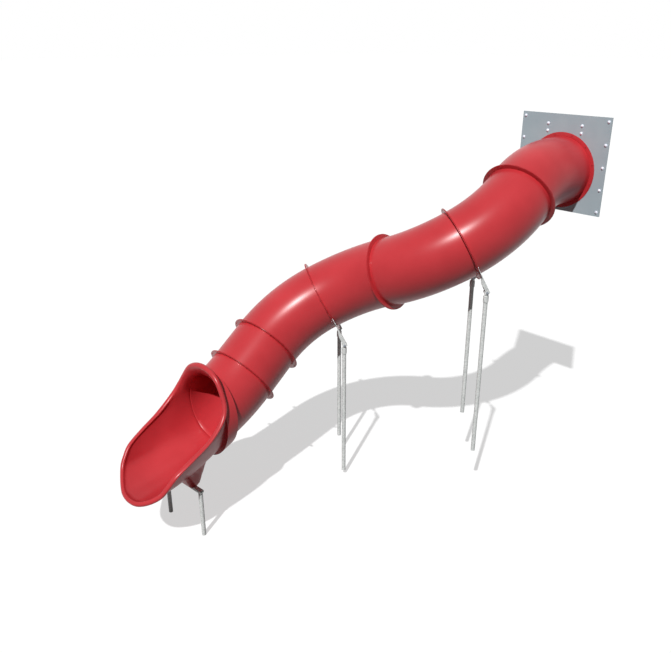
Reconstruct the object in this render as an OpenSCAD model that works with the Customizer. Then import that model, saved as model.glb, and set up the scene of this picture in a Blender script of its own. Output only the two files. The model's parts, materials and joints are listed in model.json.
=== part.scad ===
// Tube slide: a bolted run of moulded tube sections from an entry panel to an open exit,
// held up by two pairs of hinged steel legs and a fixed pair of posts under the exit.
// Millimetres. The origin is the centre of the tube hole on the back face of the panel,
// +X is the way the slide leaves the panel, +Z is up.

/* [Tube] */
// Outside diameter of the tube
tube_od = 790; // [770:5:800]
// Wall of the mouldings
wall = 10; // [8:1:12]
// How far the joining flanges stand out from the tube
flange_rim = 50; // [45:1:55]
// Thickness of one flange
flange_t = 16; // [14:1:18]
// Bolts in each joint
joint_bolts_n = 12; // [8:2:14]

/* [Entry panel] */
// Width of the panel
panel_w = 1155; // [1140:5:1200]
// Height of the panel
panel_h = 1125; // [1110:5:1150]
// Thickness of the panel
panel_t = 12; // [10:1:15]
// How far the panel's middle is above the tube's middle
panel_up = 86; // [80:1:90]

/* [Route] */
// Straight part of the entry elbow
entry_lead = 200; // [180:5:220]
// Bend radius of the entry elbow
entry_radius = 1334; // [1300:2:1380]
// Angle the entry elbow turns down
entry_bend = 31.2; // [30:0.1:32]
// Roll of the entry elbow about the panel's axis
entry_roll = 9.2; // [6:0.1:12]
// Bend radius of the four curved sections
curve_radius = 1415; // [1400:5:1430]
// Angle of each curved section
curve_bend = 36.5; // [36:0.1:37]
// Length of the straight section
straight_l = 470; // [460:5:500]
// Bend radius of the last tube section
last_radius = 2005; // [1900:5:2100]

/* [Legs] */
// Outside diameter of the leg tubes
post_d = 48.3; // [42:0.1:50]
// Distance between the two legs of a pair
leg_gap = 520; // [500:5:540]
// Length of the leg tube, upper pair, near side
upper_near_l = 1960; // [1600:10:2000]
// Length of the leg tube, upper pair, far side
upper_far_l = 1730; // [1500:10:1900]
// Length of the leg tube, lower pair, near side
lower_near_l = 1700; // [1300:10:1750]
// Length of the leg tube, lower pair, far side
lower_far_l = 1500; // [1200:10:1600]
// Distance between the two exit posts
exit_gap = 622; // [600:2:640]
// Length of the exit posts
exit_post_l = 566; // [500:2:600]

/* [Hidden] */
$fn = 96;
red = "firebrick";
steel = "silver";

ro = tube_od / 2;
ri = ro - wall;
flange_od = tube_od + 2 * flange_rim;
rf = flange_od / 2;
seam = 3;                 // each flange is set back this much at its rim
seam_deep = 10;
root = 16;                // slope where a flange meets its tube
bolt_r = rf - 18;         // bolt circle of the joints
bolt_d = 8;
hole_d = 9;
thread_gap = 0.1;         // nuts round their bolts
bolt_turn = 18.5;         // turn of the bolt circle, clear of the arms
rolls = [266.2, 11.6, -178.2, -20.8];   // roll before each curved section
exit_reach = 473;         // level distance from the last joint but one to the exit flange
band_l = 120;             // length of the collar behind the exit's mouth

// Frames: a frame is [origin, tangent, side, up]
function unit(v) = v / norm(v);
function roll_frame(f, a) =
    [f[0], f[1], cos(a) * f[2] + sin(a) * f[3], cos(a) * f[3] - sin(a) * f[2]];
function go(f, l) = [f[0] + l * f[1], f[1], f[2], f[3]];
function bend(f, r, a) =
    [f[0] + r * (sin(a) * f[1] - (1 - cos(a)) * f[3]),
     cos(a) * f[1] - sin(a) * f[3], f[2], cos(a) * f[3] + sin(a) * f[1]];
function upright(f) = let (s = unit(cross([0, 0, 1], f[1]))) [f[0], f[1], s, cross(f[1], s)];
function matrix(f) = [for (i = [0:2]) [f[1][i], f[2][i], f[3][i], f[0][i]]];

start = [[panel_t, 0, -panel_up], [1, 0, 0], [0, 1, 0], [0, 0, 1]];
elbow_0 = roll_frame(start, entry_roll);
elbow_1 = go(elbow_0, entry_lead);
joint_1 = bend(elbow_1, entry_radius, entry_bend);
curve_1_0 = roll_frame(joint_1, rolls[0]);
joint_2 = bend(curve_1_0, curve_radius, curve_bend);
curve_2_0 = roll_frame(joint_2, rolls[1]);
joint_3 = bend(curve_2_0, curve_radius, curve_bend);
curve_3_0 = roll_frame(joint_3, rolls[2]);
joint_4 = bend(curve_3_0, curve_radius, curve_bend);
curve_4_0 = roll_frame(joint_4, rolls[3]);
joint_5 = bend(curve_4_0, curve_radius, curve_bend);
joint_6 = go(joint_5, straight_l);
JOINTS = [joint_1, joint_2, joint_3, joint_4, joint_5, joint_6];

// the last section turns up in its own upright plane until it meets the level exit flange
last_0 = upright(joint_6);
last_slope = asin(-joint_6[1].z);
heading = unit([joint_6[1].x, joint_6[1].y, 0]);
flange_slope = asin(sin(last_slope) - exit_reach / last_radius);
exit_dz = last_radius * (cos(flange_slope) - cos(last_slope));
// exit frame: level, at the height of joint 6, on the exit flange's face
exit_f = [joint_6[0] + exit_reach * heading, heading,
          cross([0, 0, 1], heading), [0, 0, 1]];

module at(f) multmatrix(matrix(f)) children();
// lays a shape drawn round Z along +X
module along_x() multmatrix([[0, 0, 1, 0], [1, 0, 0, 0], [0, 1, 0, 0]]) children();

// Tube sections
// straight tube with a flange at both ends
module sleeve(l)
    along_x() rotate_extrude() polygon(
        [[ri, 0], [rf - seam_deep, 0], [rf - seam_deep + 1, seam], [rf - 2, seam],
         [rf, seam + 2], [rf, flange_t - 3], [rf - 3, flange_t], [ro + root, flange_t],
         [ro, flange_t + root * 0.75],
         [ro, l - flange_t - root * 0.75], [ro + root, l - flange_t], [rf - 3, l - flange_t],
         [rf, l - flange_t + 3], [rf, l - seam - 2], [rf - 2, l - seam],
         [rf - seam_deep + 1, l - seam], [rf - seam_deep, l], [ri, l]]);
// flange as a solid disc, with a rounded rim, a seam recess on its mating face
// and a sloped root; the bore is cut last
module flange_disc()
    along_x() rotate_extrude()
        polygon([[0, 0], [rf - seam_deep, 0], [rf - seam_deep + 1, seam], [rf - 2, seam],
                 [rf, seam + 2], [rf, flange_t - 3], [rf - 3, flange_t], [ro + root, flange_t],
                 [ro - 1, flange_t + root * 0.8], [0, flange_t + root * 0.8]]);

module flip_x() multmatrix([[-1, 0, 0, 0], [0, 1, 0, 0], [0, 0, 1, 0]]) children();

// rod bent down in the local XZ plane
module bent_rod(r, a, rad)
    multmatrix([[0, 1, 0, 0], [0, 0, 1, 0], [1, 0, 0, -r]])
        rotate_extrude(angle = a) translate([r, 0]) circle(r = rad);

module joint_holes(f)
    at(upright(f)) for (i = [0:joint_bolts_n - 1])
        rotate([bolt_turn + i * 360 / joint_bolts_n, 0, 0]) translate([-flange_t - 1, 0, -bolt_r])
            rotate([0, 90, 0]) cylinder(d = hole_d, h = 2 * flange_t + 2, $fn = 24);

// solid rod along a bend, from just before its start to just past its end
module bend_bore(f0, r, a, rad)
    at(bend(f0, r, -1)) bent_rod(r, a + 2, rad);

module curved_section(f0, f1) {
    difference() {
        union() {
            at(f0) flange_disc();
            at(f0) bent_rod(curve_radius, curve_bend, ro);
            at(f1) flip_x() flange_disc();
        }
        bend_bore(f0, curve_radius, curve_bend, ri);
        joint_holes(f0);
        joint_holes(f1);
    }
}

// a straight sleeve on the panel, half a millimetre thicker each way, runs into the bend
module entry_elbow()
    color(red) difference() {
        union() {
            at(elbow_0) flange_disc();
            at(elbow_0) along_x() cylinder(r = ro + 0.5, h = entry_lead + 12);
            at(elbow_1) bent_rod(entry_radius, entry_bend, ro);
            at(joint_1) flip_x() flange_disc();
        }
        at(elbow_0) translate([-1, 0, 0]) along_x() cylinder(r = ri - 0.5, h = entry_lead + 13);
        at(elbow_1) bent_rod(entry_radius, entry_bend + 1, ri);
        entry_holes(hole_d);
        joint_holes(joint_1);
    }

module curve_1() color(red) difference() {
    curved_section(curve_1_0, joint_2);
    arm_holes(joint_2);
}
module curve_2() color(red) difference() {
    curved_section(curve_2_0, joint_3);
    arm_holes(joint_2);
}
module curve_3() color(red) difference() {
    curved_section(curve_3_0, joint_4);
    arm_holes(joint_4);
}
module curve_4() color(red) difference() {
    curved_section(curve_4_0, joint_5);
    arm_holes(joint_4);
}

module straight_section()
    color(red) difference() {
        at(joint_5) sleeve(straight_l);
        joint_holes(joint_5);
        joint_holes(joint_6);
    }

module exit_space(s0, s1)
    at(exit_f) translate([s0, -800, -1200]) cube([s1 - s0, 1600, 2000]);

// the last tube section turns towards level and ends in an upright flange
module exit_bend() {
    up_f = roll_frame(last_0, 180);
    turn = last_slope - flange_slope + 6;
    end_f = bend(up_f, last_radius, last_slope - flange_slope);
    color(red) difference() {
        union() {
            at(joint_6) flange_disc();
            intersection() {
                at(up_f) bent_rod(last_radius, turn, ro);
                exit_space(-900, 0);
            }
            intersection() {
                at(go(end_f, -260)) along_x() cylinder(r = rf, h = 520);
                exit_space(-flange_t, 0);
            }
        }
        bend_bore(up_f, last_radius, turn, ri);
        joint_holes(joint_6);
        exit_screws_at() translate([-flange_t - 1, 0, 0]) along_x() cylinder(d = hole_d, h = 40, $fn = 24);
    }
}

// places its child at each screw of the exit flange, in the exit frame, pointing along +X
module exit_screws_at()
    at(exit_f) for (i = [0:joint_bolts_n - 1])
        let (a = bolt_turn + i * 360 / joint_bolts_n)
            translate([0, bolt_r * sin(a), -exit_dz - bolt_r / cos(flange_slope) * cos(a)]) children();

// Exit chute: one moulding, a tube that opens into a scoop with a rolled rim
// inner edge of the rim, from the lip round to the top of the arch:
// forward, sideways, up, and the angle round the tube where that line starts
RIM = [[1185, 0, -835, 0], [1168, 135, -826, 12], [1102, 248, -788, 22], [1005, 335, -705, 38],
       [915, 390, -590, 56], [820, 425, -495, 67], [630, 448, -400, 77], [420, 455, -305, 87],
       [265, 455, -200, 97], [185, 448, -100, 108], [150, 415, 0, 121], [135, 348, 115, 136],
       [130, 250, 225, 151], [128, 130, 290, 166], [128, 0, 310, 180]];
RIM_STEPS = 4;
bead_r = 21;              // rolled rim
bead_out = 14;            // its centre, outside the inner face
foot_z = -955;            // underside of the moulded foot
foot_half = 210;          // half its width
// how far down the foot reaches along the chute, 0 none and 1 full
FOOT = [[285, 0], [350, 0.5], [416, 1], [518, 1], [560, 0.6], [600, 0]];
// distances from the flange, along the bottom, of the rows of the outer and inner faces
OUT_S = [200, 285, 350, 416, 467, 518, 560, 600, 700, 800, 900, 1000, 1090, 1148];
IN_S = [1148, 1090, 1000, 900, 800, 700, 600, 480, 360, 240, 120];
BEAD_A = [155, 115, 75, 35, -5, -45, -85, -125];

function flip_w(q) = [q[0], -q[1], q[2], -q[3]];
function rim_at(i) = i < 0 ? flip_w(RIM[-i]) : i >= len(RIM)
    ? let (m = RIM[2 * len(RIM) - 2 - i]) [m[0], -m[1], m[2], 360 - m[3]] : RIM[i];
function spline(a, b, c, d, t) =
    0.5 * (2 * b + (c - a) * t + (2 * a - 5 * b + 4 * c - d) * t * t
           + (3 * b - a - 3 * c + d) * t * t * t);
half_rim = concat([for (i = [0:len(RIM) - 2], k = [0:RIM_STEPS - 1])
    spline(rim_at(i - 1), rim_at(i), rim_at(i + 1), rim_at(i + 2), k / RIM_STEPS)],
    [RIM[len(RIM) - 1]]);
last_half = len(half_rim) - 1;
ring = concat(half_rim, [for (j = [last_half - 1:-1:1]) flip_w(half_rim[j])]);
ring_n = len(ring);

mouth_r = ri + 3;         // the chute's mouth stands back a little from the tube's bore
function mouth(q) = [0, mouth_r * sin(q[3]),
                     -exit_dz - mouth_r / cos(flange_slope) * cos(q[3])];
function rim_pt(q) = [q[0], q[1], q[2]];
function reach(q) = norm(rim_pt(q) - mouth(q));
function ease(x) = let (t = max(0, min(1, x))) t * t * (3 - 2 * t);
function leave(q) = reach(q) * [cos(flange_slope), 0, -sin(flange_slope)];
function arrive(q) = let (m = ease((abs(q[3]) - 95) / 45))
    reach(q) * unit((1 - m) * [1, 0, 0.03] + m * [0.4, sin(q[3]), -cos(q[3])]);
// point and direction at v from 0 at the flange to 1 at the rim
function face(q, v) =
    (2 * v * v * v - 3 * v * v + 1) * mouth(q) + (v * v * v - 2 * v * v + v) * leave(q)
    + (3 * v * v - 2 * v * v * v) * rim_pt(q) + (v * v * v - v * v) * arrive(q);
function along(q, v) = unit(
    (6 * v * v - 6 * v) * mouth(q) + (3 * v * v - 4 * v + 1) * leave(q)
    + (6 * v - 6 * v * v) * rim_pt(q) + (3 * v * v - 2 * v) * arrive(q));
// v of a distance s along the bottom, squeezed in proportion on the shorter lines
function v_end(q) = 1 - 24 / reach(q);
function band_v(q, k) = v_end(q) * min([0, 60, band_l - 2, band_l + 6][k] / q[0] / v_end(q),
                                       [0, 0.42, 0.8, 0.86][k]);
function s_v(q, s) = band_v(q, 3) + (v_end(q) - band_v(q, 3)) * (s - band_l - 6) / (1148 - band_l - 6);

function row_pts(vs) = [for (j = [0:ring_n - 1]) face(ring[j], vs[j])];
function normals(p, vs) = [for (j = [0:ring_n - 1])
    unit(cross(p[(j + 1) % ring_n] - p[(j + ring_n - 1) % ring_n], along(ring[j], vs[j])))];
// pushes a point of the collar out to the flange's size
function on_band(p) = let (c = -exit_dz - p.x * tan(flange_slope),
    m = norm([p.y / rf, (p.z - c) * cos(flange_slope) / rf]))
    m < 1 ? [p.x, p.y / m, c + (p.z - c) / m] : p;
function with_foot(p) = let (k = lookup(p.x, FOOT) * (1 - ease((abs(p.y) - foot_half) / 32)))
    [p.x, p.y, p.z + k * (foot_z - p.z)];

function outer_row(vs, band) = let (p = row_pts(vs), n = normals(p, vs))
    [for (j = [0:ring_n - 1]) let (o = p[j] + 12 * n[j])
        band ? (vs[j] == 0 ? [0, on_band(o).y, on_band([0, o.y, o.z]).z] : on_band(o))
             : (abs(ring[j][3]) < 60 && p[j].x > 250 && p[j].x < 630 ? with_foot(o) : o)];
function bead_row(a) = let (vs = [for (q = ring) 1], p = row_pts(vs), n = normals(p, vs))
    [for (j = [0:ring_n - 1]) p[j] + bead_out * n[j]
        + bead_r * (cos(a) * along(ring[j], 1) + sin(a) * n[j])];

chute_rows = concat(
    [for (k = [0:3]) outer_row([for (q = ring) band_v(q, k)], k < 3)],
    [for (s = OUT_S) outer_row([for (q = ring) s_v(q, s)], false)],
    [for (a = BEAD_A) bead_row(a)],
    [for (s = IN_S) row_pts([for (q = ring) s <= 120 ? band_v(q, 2) : s_v(q, s)])],
    [row_pts([for (q = ring) 0])]);
rows_n = len(chute_rows);

module exit_chute()
    color(red) at(exit_f) polyhedron(
        points = [for (r = chute_rows, p = r) p],
        faces = [for (i = [0:rows_n - 1], j = [0:ring_n - 1])
            let (a = i * ring_n + j, b = i * ring_n + (j + 1) % ring_n,
                 c = ((i + 1) % rows_n) * ring_n + (j + 1) % ring_n,
                 d = ((i + 1) % rows_n) * ring_n + j)
            each [[a, d, c], [a, c, b]]],
        convexity = 10);

// Entry panel
bolt_edge_w = 39.5;       // panel bolts in from its sides
bolt_edge_h = 49.5;       // and from its top and bottom
inner_up = [62, 146];     // bolts above the tube hole
bolt_half_w = panel_w / 2 - bolt_edge_w;
bolt_pitch = (panel_h / 2 - bolt_edge_h) / 2;
module edge_bolts_at()
    for (y = [-1, 1], i = [0:4])
        translate([0, y * bolt_half_w, (2 - i) * bolt_pitch])
            children();
module inner_bolts_at()
    for (y = [-220, 220], u = inner_up) translate([0, y, ri - panel_up + u]) children();
module entry_bolts_at()
    translate([0, 0, -panel_up]) for (i = [0:joint_bolts_n - 1])
        rotate([15 + i * 360 / joint_bolts_n, 0, 0]) translate([0, 0, -bolt_r]) children();
module entry_holes(d) entry_bolts_at() translate([-1, 0, 0]) along_x() cylinder(d = d, h = 60, $fn = 24);

module panel()
    color("slategray") difference() {
        translate([0, -panel_w / 2, -panel_h / 2]) cube([panel_t, panel_w, panel_h]);
        translate([-1, 0, -panel_up]) along_x() cylinder(r = ri, h = panel_t + 2);
        entry_holes(hole_d);
        edge_bolts_at() translate([-1, 0, 0]) along_x() cylinder(d = 13, h = panel_t + 2, $fn = 32);
        inner_bolts_at() translate([-1, 0, 0]) along_x() cylinder(d = 11, h = panel_t + 2, $fn = 32);
    }

// domed head on a round base, with a neck in the panel and its shank behind, along +X
neck_more = 0.8;
module dome_bolt(d, behind) {
    along_x() {
        translate([0, 0, panel_t]) cylinder(d = 38, h = 3, $fn = 48);
        intersection() {
            translate([0, 0, panel_t + 3 - 6]) sphere(r = 18, $fn = 48);
            translate([0, 0, panel_t + 2]) cylinder(d = 36, h = 14, $fn = 48);
        }
        translate([0, 0, -behind]) cylinder(d = d, h = panel_t + behind + 1, $fn = 32);
        cylinder(d = d + neck_more, h = panel_t + 1, $fn = 32);
    }
}
module panel_bolts() color("gainsboro") edge_bolts_at() dome_bolt(12, 55);
module panel_cap_bolts() color("gainsboro") inner_bolts_at() dome_bolt(10, 12);

module nut(d, across, h) along_x() difference() {
    cylinder(r = across / 2 / cos(30), h = h, $fn = 6);
    translate([0, 0, -1]) cylinder(d = d + thread_gap, h = h + 2, $fn = 32);
}
module panel_nuts() color(steel) inner_bolts_at() translate([-8, 0, 0]) nut(10, 17, 8);

// low round head with its face at x = 0, and a shank going along +X
module joint_bolt(grip, over) {
    translate([-5, 0, 0]) along_x() cylinder(d = 17, h = 5, $fn = 32);
    translate([-1, 0, 0]) along_x() cylinder(d = bolt_d, h = grip + over + 1, $fn = 32);
}
module joint_bolts_at(f)
    at(upright(f)) for (i = [0:joint_bolts_n - 1])
        rotate([bolt_turn + i * 360 / joint_bolts_n, 0, 0]) translate([0, 0, -bolt_r]) children();

module joint_bolts()
    color(red) for (f = JOINTS)
        joint_bolts_at(f) translate([-flange_t, 0, 0]) joint_bolt(2 * flange_t, 9);
module entry_bolts()
    color(red) entry_bolts_at() translate([panel_t + flange_t, 0, 0]) flip_x()
        joint_bolt(panel_t + flange_t, 9);
module joint_nuts()
    color(red) {
        for (f = JOINTS) joint_bolts_at(f) translate([flange_t, 0, 0]) nut(bolt_d, 13, 6.5);
        entry_bolts_at() flip_x() nut(bolt_d, 13, 6.5);
    }
module arm_nuts()
    color(steel) for (l = LEGS) arm_bolts_at(l) translate([flange_t, 0, 0]) nut(bolt_d, 13, 6.5);
module exit_screws()
    color(red) exit_screws_at() translate([-flange_t, 0, 0]) joint_bolt(flange_t, 24);

// Legs: an arm on the flange, a pivot bolt, a head and a tube
leg_shift = 107;          // the pair's middle, to the near side of the tube's lowest line
arm_t = 5;
arm_w = 56;
arm_r = ro + root + 3;    // arms clear the root of the flange
arm_top = 160;            // no arm reaches nearer the tube than this, measured down
pin_d = 16;
pin_x = 20;               // pivot, downhill of the joint
eye_r = 27;               // round end of the arm at the pivot
drops = [495, 530];       // pivot below the tube's middle, in the plane of the joint
ear_gap = arm_w - 2 * arm_t;
// joint, side, drop, and where the arm's side walls begin
upper_near = [joint_2, leg_shift + leg_gap / 2, drops[0], 305];
upper_far = [joint_2, leg_shift - leg_gap / 2, drops[0], 440];
lower_near = [joint_4, leg_shift + leg_gap / 2, drops[1], 305];
lower_far = [joint_4, leg_shift - leg_gap / 2, drops[1], 440];
LEGS = [upper_near, upper_far, lower_near, lower_far];

module arm_bolts_at(l)
    at(upright(l[0])) for (dy = [-17, 17])
        translate([0, l[1] + dy, -sqrt(bolt_r * bolt_r - (l[1] + dy) * (l[1] + dy))]) children();
module arm_holes(f)
    for (l = LEGS) if (l[0] == f)
        arm_bolts_at(l) translate([-flange_t - 10, 0, 0]) along_x()
            cylinder(d = hole_d, h = 2 * flange_t + 20, $fn = 24);

// folded channel: its web lies on the flange, its side walls deepen into two ears
module arm(l) {
    color(steel) difference() {
        at(upright(l[0])) {
            translate([-flange_t - arm_t, 0, 0]) along_x() linear_extrude(arm_t) difference() {
                translate([l[1] - arm_w / 2, -l[2] - 6]) square([arm_w, l[2] + 6 - arm_top]);
                circle(r = arm_r);
            }
            for (y = [l[1] - arm_w / 2, l[1] + arm_w / 2 - arm_t])
                translate([0, y + arm_t, 0]) rotate([90, 0, 0]) linear_extrude(arm_t) union() {
                    polygon([[-flange_t - arm_t, -l[3]], [-flange_t + 3, -l[3]],
                             [pin_x + 10, -0.55 * l[3] - 0.45 * l[2]], [pin_x + 10, -l[2]],
                             [pin_x, -l[2] - 20], [-flange_t + 5, -l[2] - 18],
                             [-flange_t - arm_t, -l[2] - 6]]);
                    translate([pin_x, -l[2]]) circle(r = eye_r, $fn = 48);
                }
        }
        at(upright(l[0])) translate([pin_x, l[1] - 60, -l[2]]) rotate([-90, 0, 0])
            cylinder(d = pin_d + 0.1, h = 120, $fn = 48);
        arm_bolts_at(l) translate([-flange_t - 10, 0, 0]) along_x() cylinder(d = hole_d, h = 20, $fn = 24);
    }
}

module pivot(l)
    color(steel) at(upright(l[0])) translate([pin_x, l[1], -l[2]]) rotate([-90, 0, 0]) {
        translate([0, 0, -arm_w / 2 - 10]) cylinder(r = 14, h = 10, $fn = 6);
        translate([0, 0, -arm_w / 2 - 1]) cylinder(d = pin_d, h = arm_w + 18, $fn = 48);
        translate([0, 0, arm_w / 2]) cylinder(r = 13.8, h = 13, $fn = 6);
    }

// frame at the pivot, upright, with the pivot bolt along its side axis
function pivot_frame(l) = let (u = upright(l[0]))
    [u[0] + pin_x * u[1] + l[1] * u[2] - l[2] * u[3],
     cross(u[2], [0, 0, 1]), u[2], [0, 0, 1]];

head_l = 70;
neck_cut = 1;             // the tube's end is turned down to sit in the head's sleeve
sleeve_gap = 0.1;
head_top = 42;            // top of the sleeve, below the pivot
module head(l)
    color(steel) at(pivot_frame(l)) difference() {
        union() {
            translate([0, ear_gap / 2 - 0.5, 0]) rotate([90, 0, 0])
                cylinder(r = eye_r - 2, h = ear_gap - 1, $fn = 64);
            translate([0, 0, -head_top - 1]) cylinder(d = 36, h = head_top - 9, $fn = 64);
            translate([0, 0, -head_top - 5]) cylinder(d = post_d + 12, h = 5, $fn = 64);
            translate([0, 0, -head_top - head_l]) difference() {
                cylinder(d = post_d + 12, h = head_l, $fn = 64);
                translate([0, 0, -1]) cylinder(d = post_d - neck_cut + sleeve_gap, h = head_l - 4, $fn = 64);
            }
        }
        translate([0, 40, 0]) rotate([90, 0, 0]) cylinder(d = pin_d + 0.1, h = 80, $fn = 48);
    }

module post(l, length)
    color(steel) at(pivot_frame(l)) translate([0, 0, -head_top - 5 - length]) difference() {
        union() {
            cylinder(d = post_d, h = length - head_l + 5, $fn = 64);
            cylinder(d = post_d - neck_cut, h = length, $fn = 64);
        }
        translate([0, 0, 4]) cylinder(d = post_d - 6, h = length, $fn = 64);
    }

module arm_upper_near() arm(upper_near);
module arm_upper_far() arm(upper_far);
module arm_lower_near() arm(lower_near);
module arm_lower_far() arm(lower_far);
module arm_bolts()
    color(steel) for (l = LEGS)
        arm_bolts_at(l) translate([-flange_t - arm_t, 0, 0]) joint_bolt(arm_t + 2 * flange_t, 9);
module pivot_upper_near() pivot(upper_near);
module pivot_upper_far() pivot(upper_far);
module pivot_lower_near() pivot(lower_near);
module pivot_lower_far() pivot(lower_far);
module head_upper_near() head(upper_near);
module head_upper_far() head(upper_far);
module head_lower_near() head(lower_near);
module head_lower_far() head(lower_far);
module post_upper_near() post(upper_near, upper_near_l);
module post_upper_far() post(upper_far, upper_far_l);
module post_lower_near() post(lower_near, lower_near_l);
module post_lower_far() post(lower_far, lower_far_l);

// Exit posts
exit_post_s = 468;        // posts from the exit flange
bar_h = 30;
bar_w = 50;
module exit_crossbar()
    color(steel) at(exit_f) difference() {
        translate([exit_post_s - bar_w / 2, -exit_gap / 2 - 30, foot_z - bar_h])
            cube([bar_w, exit_gap + 60, bar_h]);
        translate([exit_post_s - bar_w / 2 + 3, -exit_gap / 2 - 31, foot_z - bar_h + 3])
            cube([bar_w - 6, exit_gap + 62, bar_h - 6]);
        for (y = [-130, 130]) translate([exit_post_s, y, foot_z - bar_h - 1])
            cylinder(d = 11, h = bar_h + 2, $fn = 32);
    }
module exit_post(y)
    color(steel) at(exit_f) translate([exit_post_s, y * exit_gap / 2, foot_z - bar_h - exit_post_l])
        difference() {
            cylinder(d = post_d, h = exit_post_l, $fn = 64);
            translate([0, 0, 4]) cylinder(d = post_d - 6, h = exit_post_l - 8, $fn = 64);
        }
module exit_post_near() exit_post(1);
module exit_post_far() exit_post(-1);
module exit_bolts()
    color(steel) at(exit_f) for (y = [-130, 130]) translate([exit_post_s, y, foot_z - bar_h]) {
        translate([0, 0, -7]) cylinder(r = 9.8, h = 7, $fn = 6);
        translate([0, 0, -1]) cylinder(d = 10, h = bar_h + 26, $fn = 32);
    }

panel();
panel_bolts();
panel_cap_bolts();
panel_nuts();
entry_bolts();
entry_elbow();
curve_1();
curve_2();
curve_3();
curve_4();
straight_section();
exit_bend();
exit_chute();
joint_bolts();
joint_nuts();
exit_screws();
arm_nuts();
arm_upper_near();
arm_upper_far();
arm_lower_near();
arm_lower_far();
arm_bolts();
pivot_upper_near();
pivot_upper_far();
pivot_lower_near();
pivot_lower_far();
head_upper_near();
head_upper_far();
head_lower_near();
head_lower_far();
post_upper_near();
post_upper_far();
post_lower_near();
post_lower_far();
exit_crossbar();
exit_post_near();
exit_post_far();
exit_bolts();
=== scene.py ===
"""Looks of the tube slide: materials, light, floor and the photo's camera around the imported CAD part."""

import json
import math

import bpy
import numpy as np
from mathutils import Matrix, Vector


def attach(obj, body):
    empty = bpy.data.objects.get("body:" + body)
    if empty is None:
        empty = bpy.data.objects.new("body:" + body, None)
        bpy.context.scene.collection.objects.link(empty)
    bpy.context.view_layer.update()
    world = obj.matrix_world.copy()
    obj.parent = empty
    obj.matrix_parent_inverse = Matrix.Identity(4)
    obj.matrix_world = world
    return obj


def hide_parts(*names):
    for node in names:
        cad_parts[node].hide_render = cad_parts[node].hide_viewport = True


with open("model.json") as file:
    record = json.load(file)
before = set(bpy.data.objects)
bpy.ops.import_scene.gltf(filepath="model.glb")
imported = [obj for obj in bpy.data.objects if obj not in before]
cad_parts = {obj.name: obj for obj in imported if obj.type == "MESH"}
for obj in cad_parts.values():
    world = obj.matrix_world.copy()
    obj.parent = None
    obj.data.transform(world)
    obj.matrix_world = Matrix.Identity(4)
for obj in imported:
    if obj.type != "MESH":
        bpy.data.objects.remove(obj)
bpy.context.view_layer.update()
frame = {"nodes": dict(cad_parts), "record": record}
NODES = frame["nodes"]


# Materials

def new_mat(name):
    mat = bpy.data.materials.new(name)
    mat.use_nodes = True
    return mat, mat.node_tree, mat.node_tree.nodes["Principled BSDF"]


def node(tree, kind, **values):
    """A new node; a value goes to the socket of its name, or else to the setting of that name."""
    made = tree.nodes.new(kind)
    for key, value in values.items():
        if key in made.inputs:
            made.inputs[key].default_value = value
        else:
            setattr(made, key, value)
    return made


def link(tree, a, b):
    tree.links.new(a, b)


def coords(tree):
    return node(tree, "ShaderNodeTexCoord").outputs["Object"]


def noise(tree, place, scale, detail):
    made = node(tree, "ShaderNodeTexNoise", Scale=scale, Detail=detail)
    link(tree, place, made.inputs["Vector"])
    return made.outputs["Fac"]


def ramp(tree, factor, stops):
    made = node(tree, "ShaderNodeValToRGB")
    for stop, (position, colour) in zip(made.color_ramp.elements, stops):
        stop.position = position
        stop.color = (*colour, 1)
    link(tree, factor, made.inputs["Fac"])
    return made.outputs["Color"]


def bump(tree, shader, height, strength, distance):
    made = node(tree, "ShaderNodeBump", Strength=strength, Distance=distance)
    link(tree, height, made.inputs["Height"])
    link(tree, made.outputs["Normal"], shader.inputs["Normal"])


def srgb(*levels):
    """The linear colour of an sRGB one that is given from 0 to 255."""
    return tuple(c / 255 / 12.92 if c <= 10 else ((c / 255 + 0.055) / 1.055) ** 2.4 for c in levels)


def tube_mat():
    mat, tree, shader = new_mat("tube_red")
    place = coords(tree)
    cloud = noise(tree, place, 2.2, 4.0)
    link(tree, ramp(tree, cloud, [(0.3, srgb(180, 44, 50)), (0.7, srgb(192, 52, 58))]),
         shader.inputs["Base Color"])
    shader.inputs["Roughness"].default_value = 0.3
    shader.inputs["IOR"].default_value = 1.45
    shader.inputs["Specular IOR Level"].default_value = 0.35
    bump(tree, shader, noise(tree, place, 60.0, 2.0), 0.05, 0.002)
    return mat


def panel_mat():
    mat, tree, shader = new_mat("panel_grey")
    place = coords(tree)
    cloud = noise(tree, place, 5.0, 5.0)
    link(tree, ramp(tree, cloud, [(0.3, srgb(162, 177, 184)), (0.7, srgb(170, 184, 190))]),
         shader.inputs["Base Color"])
    shader.inputs["Roughness"].default_value = 0.5
    bump(tree, shader, noise(tree, place, 220.0, 2.0), 0.08, 0.001)
    return mat


def metal_mat(name, dark, light, rough, scale, metallic):
    """Metal or painted metal with a spangle of cells, scale cells to the metre."""
    mat, tree, shader = new_mat(name)
    place = coords(tree)
    cells = node(tree, "ShaderNodeTexVoronoi", Scale=scale)
    link(tree, place, cells.inputs["Vector"])
    cloud = noise(tree, place, scale * 0.35, 4.0)
    mix = node(tree, "ShaderNodeMix", data_type="FLOAT")
    mix.inputs[0].default_value = 0.55
    link(tree, cells.outputs["Distance"], mix.inputs[2])
    link(tree, cloud, mix.inputs[3])
    link(tree, ramp(tree, mix.outputs[0], [(0.25, dark), (0.62, light)]), shader.inputs["Base Color"])
    shader.inputs["Metallic"].default_value = metallic
    shader.inputs["Roughness"].default_value = rough
    bump(tree, shader, cloud, 0.06, 0.001)
    return mat


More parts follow.
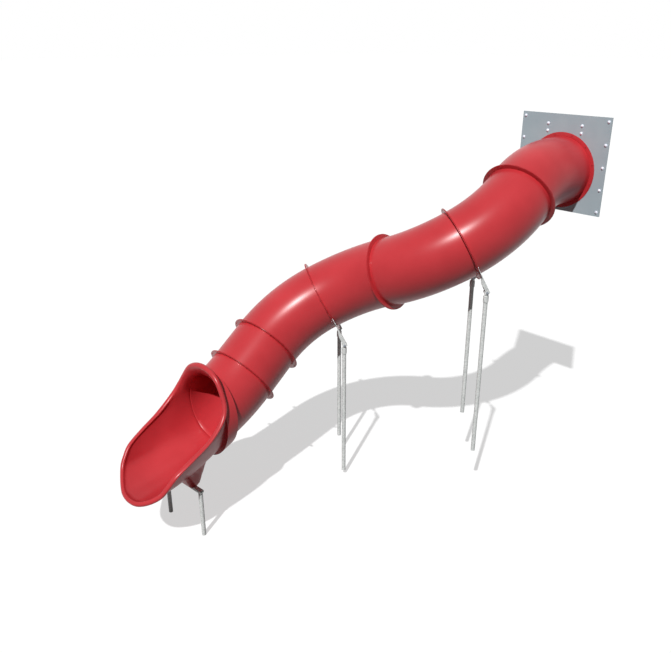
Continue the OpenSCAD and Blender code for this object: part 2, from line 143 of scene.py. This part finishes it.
MATS = {
    "tube": tube_mat(),
    "panel": panel_mat(),
    "bolt_caps": metal_mat("bolt_caps", srgb(218, 222, 238), srgb(240, 242, 252), 0.3, 90.0, 0.1),
    "joint_bolts": metal_mat("joint_bolts", srgb(150, 34, 40), srgb(186, 44, 52), 0.6, 90.0, 0.0),
    "fasteners": metal_mat("fasteners", srgb(120, 126, 136), srgb(165, 170, 178), 0.35, 90.0, 0.3),
    "galvanised": metal_mat("galvanised", srgb(186, 190, 188), srgb(226, 228, 226), 0.5, 60.0, 0.0),
}
SLOT = {s["node"]: s["material_slot"] for s in frame["record"]["subparts"]}
for name, ob in NODES.items():
    ob.data.materials.clear()
    ob.data.materials.append(MATS[SLOT[name]])


# The run of the tube, as in the CAD source, in metres
# A frame is a place and three directions: ahead along the tube, to the side, and up

PANEL_T, PANEL_UP = 0.012, 0.086
RO, RI, RF = 0.395, 0.385, 0.445      # tube outside and inside, flange
FLANGE_T = 0.016                      # in the CAD
THIN = 0.006                          # as it shows in the photo
EXIT_THIN = 0.010                     # and at the exit
LEAD, ELBOW_R, ELBOW_A, ELBOW_ROLL = 0.200, 1.334, 31.2, 9.2
CURVE_R, CURVE_A = 1.415, 36.5
ROLLS = (266.2, 11.6, -178.2, -20.8)
STRAIGHT = 0.470
LAST_R, REACH = 2.005, 0.473


def unit(v):
    v = np.array(v, float)
    return v / np.linalg.norm(v)


def roll(f, degrees):
    place, ahead, side, up = f
    a = math.radians(degrees)
    return (place, ahead, math.cos(a) * side + math.sin(a) * up, math.cos(a) * up - math.sin(a) * side)


def go(f, length):
    place, ahead, side, up = f
    return (place + length * ahead, ahead, side, up)


def bend(f, radius, degrees):
    """The frame after a bend that turns away from its up."""
    place, ahead, side, up = f
    a = math.radians(degrees)
    return (place + radius * (math.sin(a) * ahead - (1 - math.cos(a)) * up),
            math.cos(a) * ahead - math.sin(a) * up, side, math.cos(a) * up + math.sin(a) * ahead)


def upright(f):
    side = unit(np.cross([0, 0, 1], f[1]))
    return (f[0], f[1], side, np.cross(f[1], side))


START = (np.array([PANEL_T, 0, -PANEL_UP]), np.array([1.0, 0, 0]), np.array([0, 1.0, 0]),
         np.array([0, 0, 1.0]))
elbow_0 = roll(START, ELBOW_ROLL)
elbow_1 = go(elbow_0, LEAD)
joints = [None, bend(elbow_1, ELBOW_R, ELBOW_A)]
curves = [None]
for turned in ROLLS:
    curves.append(roll(joints[-1], turned))
    joints.append(bend(curves[-1], CURVE_R, CURVE_A))
joints.append(go(joints[5], STRAIGHT))

last_slope = math.degrees(math.asin(-joints[6][1][2]))
heading = unit([joints[6][1][0], joints[6][1][1], 0])
end_slope = math.degrees(math.asin(math.sin(math.radians(last_slope)) - REACH / LAST_R))
EXIT_DZ = LAST_R * (math.cos(math.radians(end_slope)) - math.cos(math.radians(last_slope)))
EXIT = (joints[6][0] + REACH * heading, heading, np.cross([0, 0, 1], heading), np.array([0, 0, 1.0]))
last_up = roll(upright(joints[6]), 180)


def elbow_path(s):
    return go(elbow_0, s) if s < LEAD else bend(elbow_1, ELBOW_R, math.degrees((s - LEAD) / ELBOW_R))


def curve_path(k):
    return lambda s: bend(curves[k], CURVE_R, math.degrees(s / CURVE_R))


def last_path(s):
    return bend(last_up, LAST_R, math.degrees(s / LAST_R))


# Tube sections

COLS = 144
ANGLES = np.arange(COLS) * 2 * math.pi / COLS
# distance from the mating face and radius, from the bore outwards and back to the tube
FLANGE = [(0.0, RI), (0.0, RF - 0.005), (0.0012, RF - 0.0008), (0.002, RF), (THIN - 0.0012, RF),
          (THIN - 0.0003, RF - 0.0004), (THIN, RF - 0.0014), (THIN, RO)]
# the upright flange at the exit: radius and distance behind the exit face
EXIT_FLANGE = [(RF - 0.0014, EXIT_THIN), (RF, EXIT_THIN - 0.0014), (RF, 0.0016), (RF - 0.0016, 0.0),
               (RI + 0.003, 0.0)]
BORE_END = 0.004                      # the bore's edge at the exit is eased this far in


def ring_of(f, r):
    return f[0] + r * (np.cos(ANGLES)[:, None] * f[3] + np.sin(ANGLES)[:, None] * f[2])


def point_of(f, r, a):
    return f[0] + r * (math.cos(a) * f[3] + math.sin(a) * f[2])


def skin(name, rows, flip=False, crease=32):
    """One closed mesh from rings of equal length; the last ring joins the first."""
    n, m = len(rows), len(rows[0])
    faces = []
    for i in range(n):
        for j in range(m):
            a, b = i * m + j, i * m + (j + 1) % m
            c, d = ((i + 1) % n) * m + (j + 1) % m, ((i + 1) % n) * m + j
            faces.append((a, b, c, d) if flip else (a, d, c, b))
    mesh = bpy.data.meshes.new(name)
    mesh.from_pydata([tuple(v) for v in np.concatenate(rows)], [], faces)
    mesh.update()
    for p in mesh.polygons:
        p.use_smooth = True
    mesh.set_sharp_from_angle(angle=math.radians(crease))
    ob = bpy.data.objects.new(name, mesh)
    bpy.context.scene.collection.objects.link(ob)
    return ob


def tube(name, path, length, steps):
    """A tube section with a flange at each end, closed along its bore."""
    profile = list(FLANGE)
    profile += [(s, RO) for s in np.linspace(THIN, length - THIN, steps)[1:-1]]
    profile += [(length - s, r) for s, r in reversed(FLANGE)]
    profile += [(s, RI) for s in np.linspace(length, 0, steps)[1:-1]]
    return skin(name, [ring_of(path(s), r) for s, r in profile])


def to_plane(r, a, offset):
    """How far along the last bend its line at radius r and angle a meets the plane behind the exit face."""
    low, high = 0.2, 0.9
    for _ in range(40):
        middle = (low + high) / 2
        if np.dot(point_of(last_path(middle), r, a) - EXIT[0], heading) < -offset:
            low = middle
        else:
            high = middle
    return middle


def exit_ring(r, offset):
    return np.array([point_of(last_path(to_plane(r, a, offset)), r, a) for a in ANGLES])


def last_tube():
    """The last section: a bend whose lines all end on one upright plane, and its upright flange."""
    steps = 20
    ends = {r: [to_plane(r, a, offset) for a in ANGLES] for r, offset in ((RO, EXIT_THIN), (RI, BORE_END))}

    def between(r, start, share):
        return np.array([point_of(last_path(start * (1 - share) + end * share), r, a)
                         for a, end in zip(ANGLES, ends[r])])

    rows = [ring_of(last_path(s), r) for s, r in FLANGE]
    rows += [between(RO, THIN, share) for share in np.linspace(0, 1, steps)[1:]]
    rows += [exit_ring(r, offset) for r, offset in EXIT_FLANGE]
    rows += [between(RI, 0.0, share) for share in np.linspace(1, 0, steps)[:-1]]
    return skin("exit_bend_skin", rows)


def show(ob, cad, mat):
    ob.data.materials.append(MATS[mat])
    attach(ob, "slide")
    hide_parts(cad)


show(tube("entry_elbow_skin", elbow_path, LEAD + ELBOW_R * math.radians(ELBOW_A), 40), "entry_elbow", "tube")
for k in range(1, 5):
    curve = tube("curve_%d_skin" % k, curve_path(k), CURVE_R * math.radians(CURVE_A), 40)
    show(curve, "curve_%d" % k, "tube")
show(tube("straight_skin", lambda s: go(joints[5], s), STRAIGHT, 12), "straight_section", "tube")
show(last_tube(), "exit_bend", "tube")


# Exit chute: one moulding, a tube that opens into a scoop with a rolled rim
# All of it is in mm in the exit frame: along, across and up

# inner edge of the rim from the lip to the top of the arch, and the angle round the tube where each
# line starts
RIM = [(1180, 0, -835, 0), (1158, 132, -826, 12), (1090, 248, -780, 22), (1003, 335, -705, 38),
       (915, 390, -590, 56), (820, 425, -495, 67), (630, 448, -400, 77), (420, 455, -305, 87),
       (265, 443, -200, 97), (175, 420, -108, 108), (136, 388, -14, 121), (122, 332, 98, 136),
       (115, 248, 208, 151), (112, 132, 270, 166), (112, 0, 290, 180)]
RIM_STEPS = 10
RIM_GAP = 36.0                        # the shell's outer rows stop this far short of the rim
# where the photographed rim leaves the even shape: angle, half width, and shift along, across and up
UNEVEN = ((-142, 50, 0, 22, 0), (-85, 50, 0, 18, 0), (-46, 32, 6, -5, 0), (-12, 36, -14, 12, 17),
          (14, 26, 0, 0, 2), (48, 36, 0, 8, -5))
YAW, YAW_FROM = 0.028, 130.0          # past this length the scoop turns to the near side
MOUTH_R, SHELL, SEAM = 388.0, 12.0, 3.0
SLOPE = math.radians(end_slope)
DROP = EXIT_DZ * 1000                 # the mouth's middle lies this far below the exit frame
COLLAR_R = RF * 1000
BAND, BAND_STEP, BAND_SHARE = 148.0, 6.0, 0.89
LIP = (1.0, 0.0, 0.03)                # how the surface arrives at the lip
ARCH_AHEAD = 0.4                      # and how much it still runs ahead at the arch
ARCH_FROM, ARCH_OVER = 85, 55         # the angles over which one turns into the other
FOOT_Z, FOOT_HALF, FOOT_FADE, FOOT_TURN = -955.0, 210.0, 32.0, 60
FOOT = ((285, 0), (350, 0.5), (408, 0.95), (418, 1), (516, 1), (524, 0.95), (560, 0.6), (600, 0))
BEAD_R, BEAD_OUT, BEAD_FROM, BEAD_SWEEP, BEAD_STEPS = 27.0, 15.0, 150, 275, 27
FLARE_FAR, FLARE_TOP = (80, 30), (125, 50)      # angle where the roll widens and over how much
FLARE_R, FLARE_SWEEP = 6, 35

# rows of the skin: distance from the mouth, highest share of a line, and whether it lies on the collar
COLLAR_ROWS = ((0, 0, True), (30, 0.2, True), (60, 0.42, True), (90, 0.6, True), (120, 0.72, True),
               (BAND - 4, 0.84, True), (BAND - 1, 0.85, False), (BAND + BAND_STEP, BAND_SHARE, False))
OUTER_ROWS = (176, 186, 200, 230, 260, 285, 305, 325, 350, 370, 390, 404, 410, 416, 422, 450, 485, 512, 518,
              524, 532, 545, 560, 580, 600, 625, 650, 700, 750, 800, 850, 900, 950, 1000, 1045, 1090, 1120,
              1148)
INNER_ROWS = (1148, 1120, 1090, 1045, *range(1000, 199, -50), 176)
MOUTH_ROWS = ((BAND, 0.82), (120, 0.7), (90, 0.55), (60, 0.4), (30, 0.2), (4, 0.027), (0, 0))


def smooth(x):
    """0 up to 0 and 1 from 1 on, level at both ends."""
    x = np.clip(x, 0, 1)
    return x * x * (3 - 2 * x)


def rows_unit(v):
    return v / np.linalg.norm(v, axis=1)[:, None]


def rim_at(i):
    """Row i of RIM, which goes on as its mirror image past either end."""
    if i < 0:
        along, across, up, angle = RIM[-i]
        return np.array([along, -across, up, -angle], float)
    if i >= len(RIM):
        along, across, up, angle = RIM[2 * len(RIM) - 2 - i]
        return np.array([along, -across, up, 360 - angle], float)
    return np.array(RIM[i], float)


def rim_ring():
    """The whole rim as a smooth closed curve through the rows of RIM."""
    half = []
    for i in range(len(RIM) - 1):
        a, b, c, d = (rim_at(i + k) for k in (-1, 0, 1, 2))
        for k in range(RIM_STEPS):
            t = k / RIM_STEPS
            half.append(0.5 * (2 * b + (c - a) * t + (2 * a - 5 * b + 4 * c - d) * t * t
                               + (3 * b - a - 3 * c + d) * t ** 3))
    half.append(rim_at(len(RIM) - 1))
    return np.array(half + [np.array([q[0], -q[1], q[2], -q[3]]) for q in half[-2:0:-1]])


class Scoop:
    """The smooth surface between the round mouth, at v = 0, and the rim, at v = 1."""

    def __init__(self):
        ring = rim_ring()
        angle = ring[:, 3]
        phi = np.radians(angle)
        self.turn = angle - 360 * (angle > 180)
        self.length = ring[:, 0]
        self.lower = np.abs(angle) < FOOT_TURN
        self.mouth = np.stack([np.zeros(len(ring)), MOUTH_R * np.sin(phi),
                               -DROP - MOUTH_R / math.cos(SLOPE) * np.cos(phi)], 1)
        self.rim = ring[:, :3].copy()
        for at, wide, *shift in UNEVEN:
            self.rim += smooth(1 - np.abs(self.turn - at) / wide)[:, None] * np.array(shift, float)
        reach = np.linalg.norm(self.rim - self.mouth, axis=1)[:, None]
        self.leave = reach * np.array([math.cos(SLOPE), 0, -math.sin(SLOPE)])
        arch = smooth((np.abs(self.turn) - ARCH_FROM) / ARCH_OVER)[:, None]
        over = np.stack([np.full(len(ring), ARCH_AHEAD), np.sin(phi), -np.cos(phi)], 1)
        self.arrive = reach * rows_unit((1 - arch) * np.array(LIP) + arch * over)
        self.v_end = 1 - RIM_GAP / reach[:, 0]

    def face(self, v):
        v = v[:, None]
        return ((2 * v ** 3 - 3 * v ** 2 + 1) * self.mouth + (v ** 3 - 2 * v ** 2 + v) * self.leave
                + (3 * v ** 2 - 2 * v ** 3) * self.rim + (v ** 3 - v ** 2) * self.arrive)

    def along(self, v):
        v = v[:, None]
        return rows_unit((6 * v ** 2 - 6 * v) * self.mouth + (3 * v ** 2 - 4 * v + 1) * self.leave
                         + (6 * v - 6 * v ** 2) * self.rim + (3 * v ** 2 - 2 * v) * self.arrive)

    def normals(self, p, v):
        return rows_unit(np.cross(np.roll(p, -1, 0) - np.roll(p, 1, 0), self.along(v)))

    def near_mouth(self, s, share):
        """v at the distance s from the mouth, but never past its share of a line."""
        return self.v_end * np.minimum(s / self.length / self.v_end, share)

    def past_band(self, s):
        """v at the distance s, spread so that every line reaches its end at the last row."""
        start = self.near_mouth(BAND + BAND_STEP, BAND_SHARE)
        return start + (self.v_end - start) * (s - BAND - BAND_STEP) / (OUTER_ROWS[-1] - BAND - BAND_STEP)

    def outside(self, v):
        p = self.face(v)
        return p + SHELL * self.normals(p, v)


def on_collar(p):
    """Moves a row out to the collar's circle, or leaves it where it is further out."""
    middle = -DROP - p[:, 0] * math.tan(SLOPE)
    far = np.sqrt((p[:, 1] / COLLAR_R) ** 2 + ((p[:, 2] - middle) * math.cos(SLOPE) / COLLAR_R) ** 2)
    k = np.minimum(far, 1)
    return np.stack([p[:, 0], p[:, 1] / k, middle + (p[:, 2] - middle) / k], 1)


def with_foot(p, lower):
    """Draws the lower lines down to the foot's sole."""
    lengths, depths = np.array(FOOT, float).T
    k = np.interp(p[:, 0], lengths, depths, left=0, right=0)
    k = k * (1 - smooth((np.abs(p[:, 1]) - FOOT_HALF) / FOOT_FADE)) * lower
    return np.stack([p[:, 0], p[:, 1], p[:, 2] + k * (FOOT_Z - p[:, 2])], 1)


def rolled_rim(scoop):
    """The bead round the rim; up the far side and at the top the wall runs smoothly into it."""
    ones = np.ones(len(scoop.turn))
    p = scoop.face(ones)
    normal, along = scoop.normals(p, ones), scoop.along(ones)
    (far, far_over), (top, top_over) = FLARE_FAR, FLARE_TOP
    turn = scoop.turn
    flare = smooth(np.where(turn < 0, (-turn - far) / far_over, (turn - top) / top_over)[:, None])
    radius = BEAD_R + FLARE_R * flare
    out = BEAD_OUT + (radius - BEAD_OUT) * flare
    rows = []
    for share in np.linspace(0, 1, BEAD_STEPS):
        a = np.radians(BEAD_FROM - share * (BEAD_SWEEP - FLARE_SWEEP * flare))
        rows.append(p + out * normal + radius * (np.cos(a) * along + np.sin(a) * normal))
    return rows


def chute():
    scoop = Scoop()
    rows = []
    for s, share, collar in COLLAR_ROWS:
        row = scoop.outside(scoop.near_mouth(s, share))
        if s == 0:
            row[:, 0] = 0
        rows.append(on_collar(row) if collar else row)
    rows += [with_foot(scoop.outside(scoop.past_band(s)), scoop.lower) for s in OUTER_ROWS]
    rows += rolled_rim(scoop)
    rows += [scoop.face(scoop.past_band(s)) for s in INNER_ROWS]
    rows += [scoop.face(scoop.near_mouth(s, share)) for s, share in MOUTH_ROWS]
    middle = np.array([0, 0, -DROP])
    rows[-1] = middle + (rows[-1] - middle) * (1 + SEAM / MOUTH_R)      # the seam line inside the mouth
    for row in rows:
        row[:, 1] += YAW * np.clip(row[:, 0] - YAW_FROM, 0, None)
    world = [EXIT[0] + (r[:, :1] * EXIT[1] + r[:, 1:2] * EXIT[2] + r[:, 2:3] * EXIT[3]) / 1000 for r in rows]
    return skin("exit_chute_skin", world, flip=True, crease=48)


show(chute(), "exit_chute", "tube")


# The joints' fasteners and the arms' webs, drawn up to the thinner flanges

D = FLANGE_T - THIN
EXIT_D = FLANGE_T - EXIT_THIN
LET_IN = 0.0045                       # no bolt shows at the photographed joints, so these lie nearly flush
FACE = 0.002                          # what lies closer than this to a joint's middle stays
ARM_FACE = 0.0125                     # and before the joint, what lies closer than this on an arm


def thin_part(name, seats, inner=FACE):
    """A copy of a CAD node whose ends move along the joint that they sit on.

    Each seat is a joint's frame and how far what lies before and after it moves.
    """
    cad = NODES[name]
    mesh = cad.data.copy()
    mesh.name = name + "_mesh"
    to_world = np.array(cad.matrix_world)
    back = np.linalg.inv(to_world[:3, :3])
    points = np.empty(len(mesh.vertices) * 3)
    mesh.vertices.foreach_get("co", points)
    points = points.reshape(-1, 3)
    world = points @ to_world[:3, :3].T + to_world[:3, 3]
    aheads = np.stack([(world - f[0]) @ f[1] for f, _, _ in seats], 1)
    away = np.stack([np.linalg.norm(world - f[0], axis=1) for f, _, _ in seats], 1)
    nearest = np.argmin(away + 2 * np.abs(aheads), axis=1)
    ahead = aheads[np.arange(len(nearest)), nearest]
    axis = np.array([f[1] for f, _, _ in seats])[nearest]
    before, after = (np.array([seat[i] for seat in seats])[nearest] for i in (1, 2))
    move = np.where(ahead < -inner, before, np.where(ahead > FACE, after, 0.0))
    points += (axis * move[:, None]) @ back.T
    mesh.vertices.foreach_set("co", points.ravel())
    mesh.update()
    ob = bpy.data.objects.new(name + "_skin", mesh)
    ob.matrix_world = cad.matrix_world.copy()
    bpy.context.scene.collection.objects.link(ob)
    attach(ob, "slide")
    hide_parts(name)


flush = [(f, D + LET_IN, -D - LET_IN) for f in joints[1:]]
thin_part("joint_bolts", flush)
thin_part("joint_nuts", flush + [(START, 0, 0)])
thin_part("entry_bolts", [(START, 0, -D)])
thin_part("exit_screws", [(EXIT, EXIT_D, 0)])
thin_part("arm_bolts", [(joints[2], D, -D), (joints[4], D, -D)])
thin_part("arm_nuts", [(joints[2], D, -D), (joints[4], D, -D)])
for name, k in (("arm_upper_near", 2), ("arm_upper_far", 2), ("arm_lower_near", 4), ("arm_lower_far", 4)):
    thin_part(name, [(joints[k], D, 0)], ARM_FACE)


# Floor, light and camera

FLOOR_Z, FLOOR_SIDE = -3.795, 400
FLOOR_LIT, FLOOR_GLOW, FLOOR_BOUNCE = 0.45, 0.59, 0.12
SUN, SUN_WIDTH, SUN_DIR = 3.7, 0.018, (-0.573, -0.303, -0.762)
SKY, WHITE = 0.09, 1.0
CAM_AT, CAM_AHEAD, CAM_DOWN = (7.764, 4.415, 1.367), (-0.6782, -0.7349), 22.336
SENSOR, LENS, CLIP_END = 36.0, 37.44, 500.0


def seen(tree):
    """1 for camera, glossy and transmission rays, to which the background is white."""
    paths = node(tree, "ShaderNodeLightPath")
    out = paths.outputs["Is Camera Ray"]
    for other in ("Is Glossy Ray", "Is Transmission Ray"):
        either = node(tree, "ShaderNodeMath", operation="MAXIMUM")
        link(tree, out, either.inputs[0])
        link(tree, paths.outputs[other], either.inputs[1])
        out = either.outputs[0]
    return out


def floor_mat():
    """White where it is seen, with the object's shadow, and darker to the light that it sends back up."""
    mat, tree, shader = new_mat("floor_mat")
    white = seen(tree)
    lit = node(tree, "ShaderNodeMix", data_type="RGBA")
    link(tree, white, lit.inputs[0])
    lit.inputs[6].default_value = (FLOOR_BOUNCE, FLOOR_BOUNCE, FLOOR_BOUNCE, 1)
    lit.inputs[7].default_value = (FLOOR_LIT, FLOOR_LIT, FLOOR_LIT, 1)
    link(tree, lit.outputs[2], shader.inputs["Base Color"])
    glow = node(tree, "ShaderNodeMath", operation="MULTIPLY")
    link(tree, white, glow.inputs[0])
    glow.inputs[1].default_value = FLOOR_GLOW
    shader.inputs["Emission Color"].default_value = (1, 1, 1, 1)
    link(tree, glow.outputs[0], shader.inputs["Emission Strength"])
    shader.inputs["Roughness"].default_value = 1.0
    shader.inputs["Specular IOR Level"].default_value = 0.0
    return mat


def make_floor():
    bpy.ops.mesh.primitive_plane_add(size=1, location=(0, 0, 0))
    floor = bpy.context.object
    floor.name = "floor"
    for v in floor.data.vertices:
        v.co = Vector((v.co.x * FLOOR_SIDE, v.co.y * FLOOR_SIDE, FLOOR_Z))
    floor.data.materials.append(floor_mat())


def make_sky():
    world = bpy.data.worlds.new("sky")
    bpy.context.scene.world = world
    world.use_nodes = True
    tree = world.node_tree
    light = tree.nodes["Background"]
    light.inputs["Color"].default_value = (1, 1, 1, 1)
    light.inputs["Strength"].default_value = SKY
    white = node(tree, "ShaderNodeBackground", Strength=WHITE)
    white.inputs["Color"].default_value = (1, 1, 1, 1)
    mix = node(tree, "ShaderNodeMixShader")
    link(tree, seen(tree), mix.inputs[0])
    link(tree, light.outputs[0], mix.inputs[1])
    link(tree, white.outputs[0], mix.inputs[2])
    link(tree, mix.outputs[0], tree.nodes["World Output"].inputs["Surface"])


def make_sun():
    light = bpy.data.lights.new("sun", "SUN")
    light.energy = SUN
    light.angle = SUN_WIDTH
    sun = bpy.data.objects.new("sun", light)
    sun.rotation_mode = "QUATERNION"
    sun.rotation_quaternion = Vector(SUN_DIR).to_track_quat("-Z", "Y")
    bpy.context.scene.collection.objects.link(sun)


def make_camera():
    lens = bpy.data.cameras.new("photo_cam")
    lens.sensor_width = SENSOR
    lens.lens = LENS
    lens.clip_end = CLIP_END
    cam = bpy.data.objects.new("photo_cam", lens)
    pitch = math.radians(CAM_DOWN)
    x, y = CAM_AHEAD
    look = Vector((x * math.cos(pitch), y * math.cos(pitch), -math.sin(pitch)))
    look.normalize()
    right = Vector((y, -x, 0)).normalized()
    turned = Matrix((right, right.cross(look), -look)).transposed()
    cam.matrix_world = Matrix.Translation(CAM_AT) @ turned.to_4x4()
    bpy.context.scene.collection.objects.link(cam)
    bpy.context.scene.camera = cam


make_floor()
make_sky()
make_sun()
make_camera()
bpy.context.scene.view_settings.view_transform = "Standard"
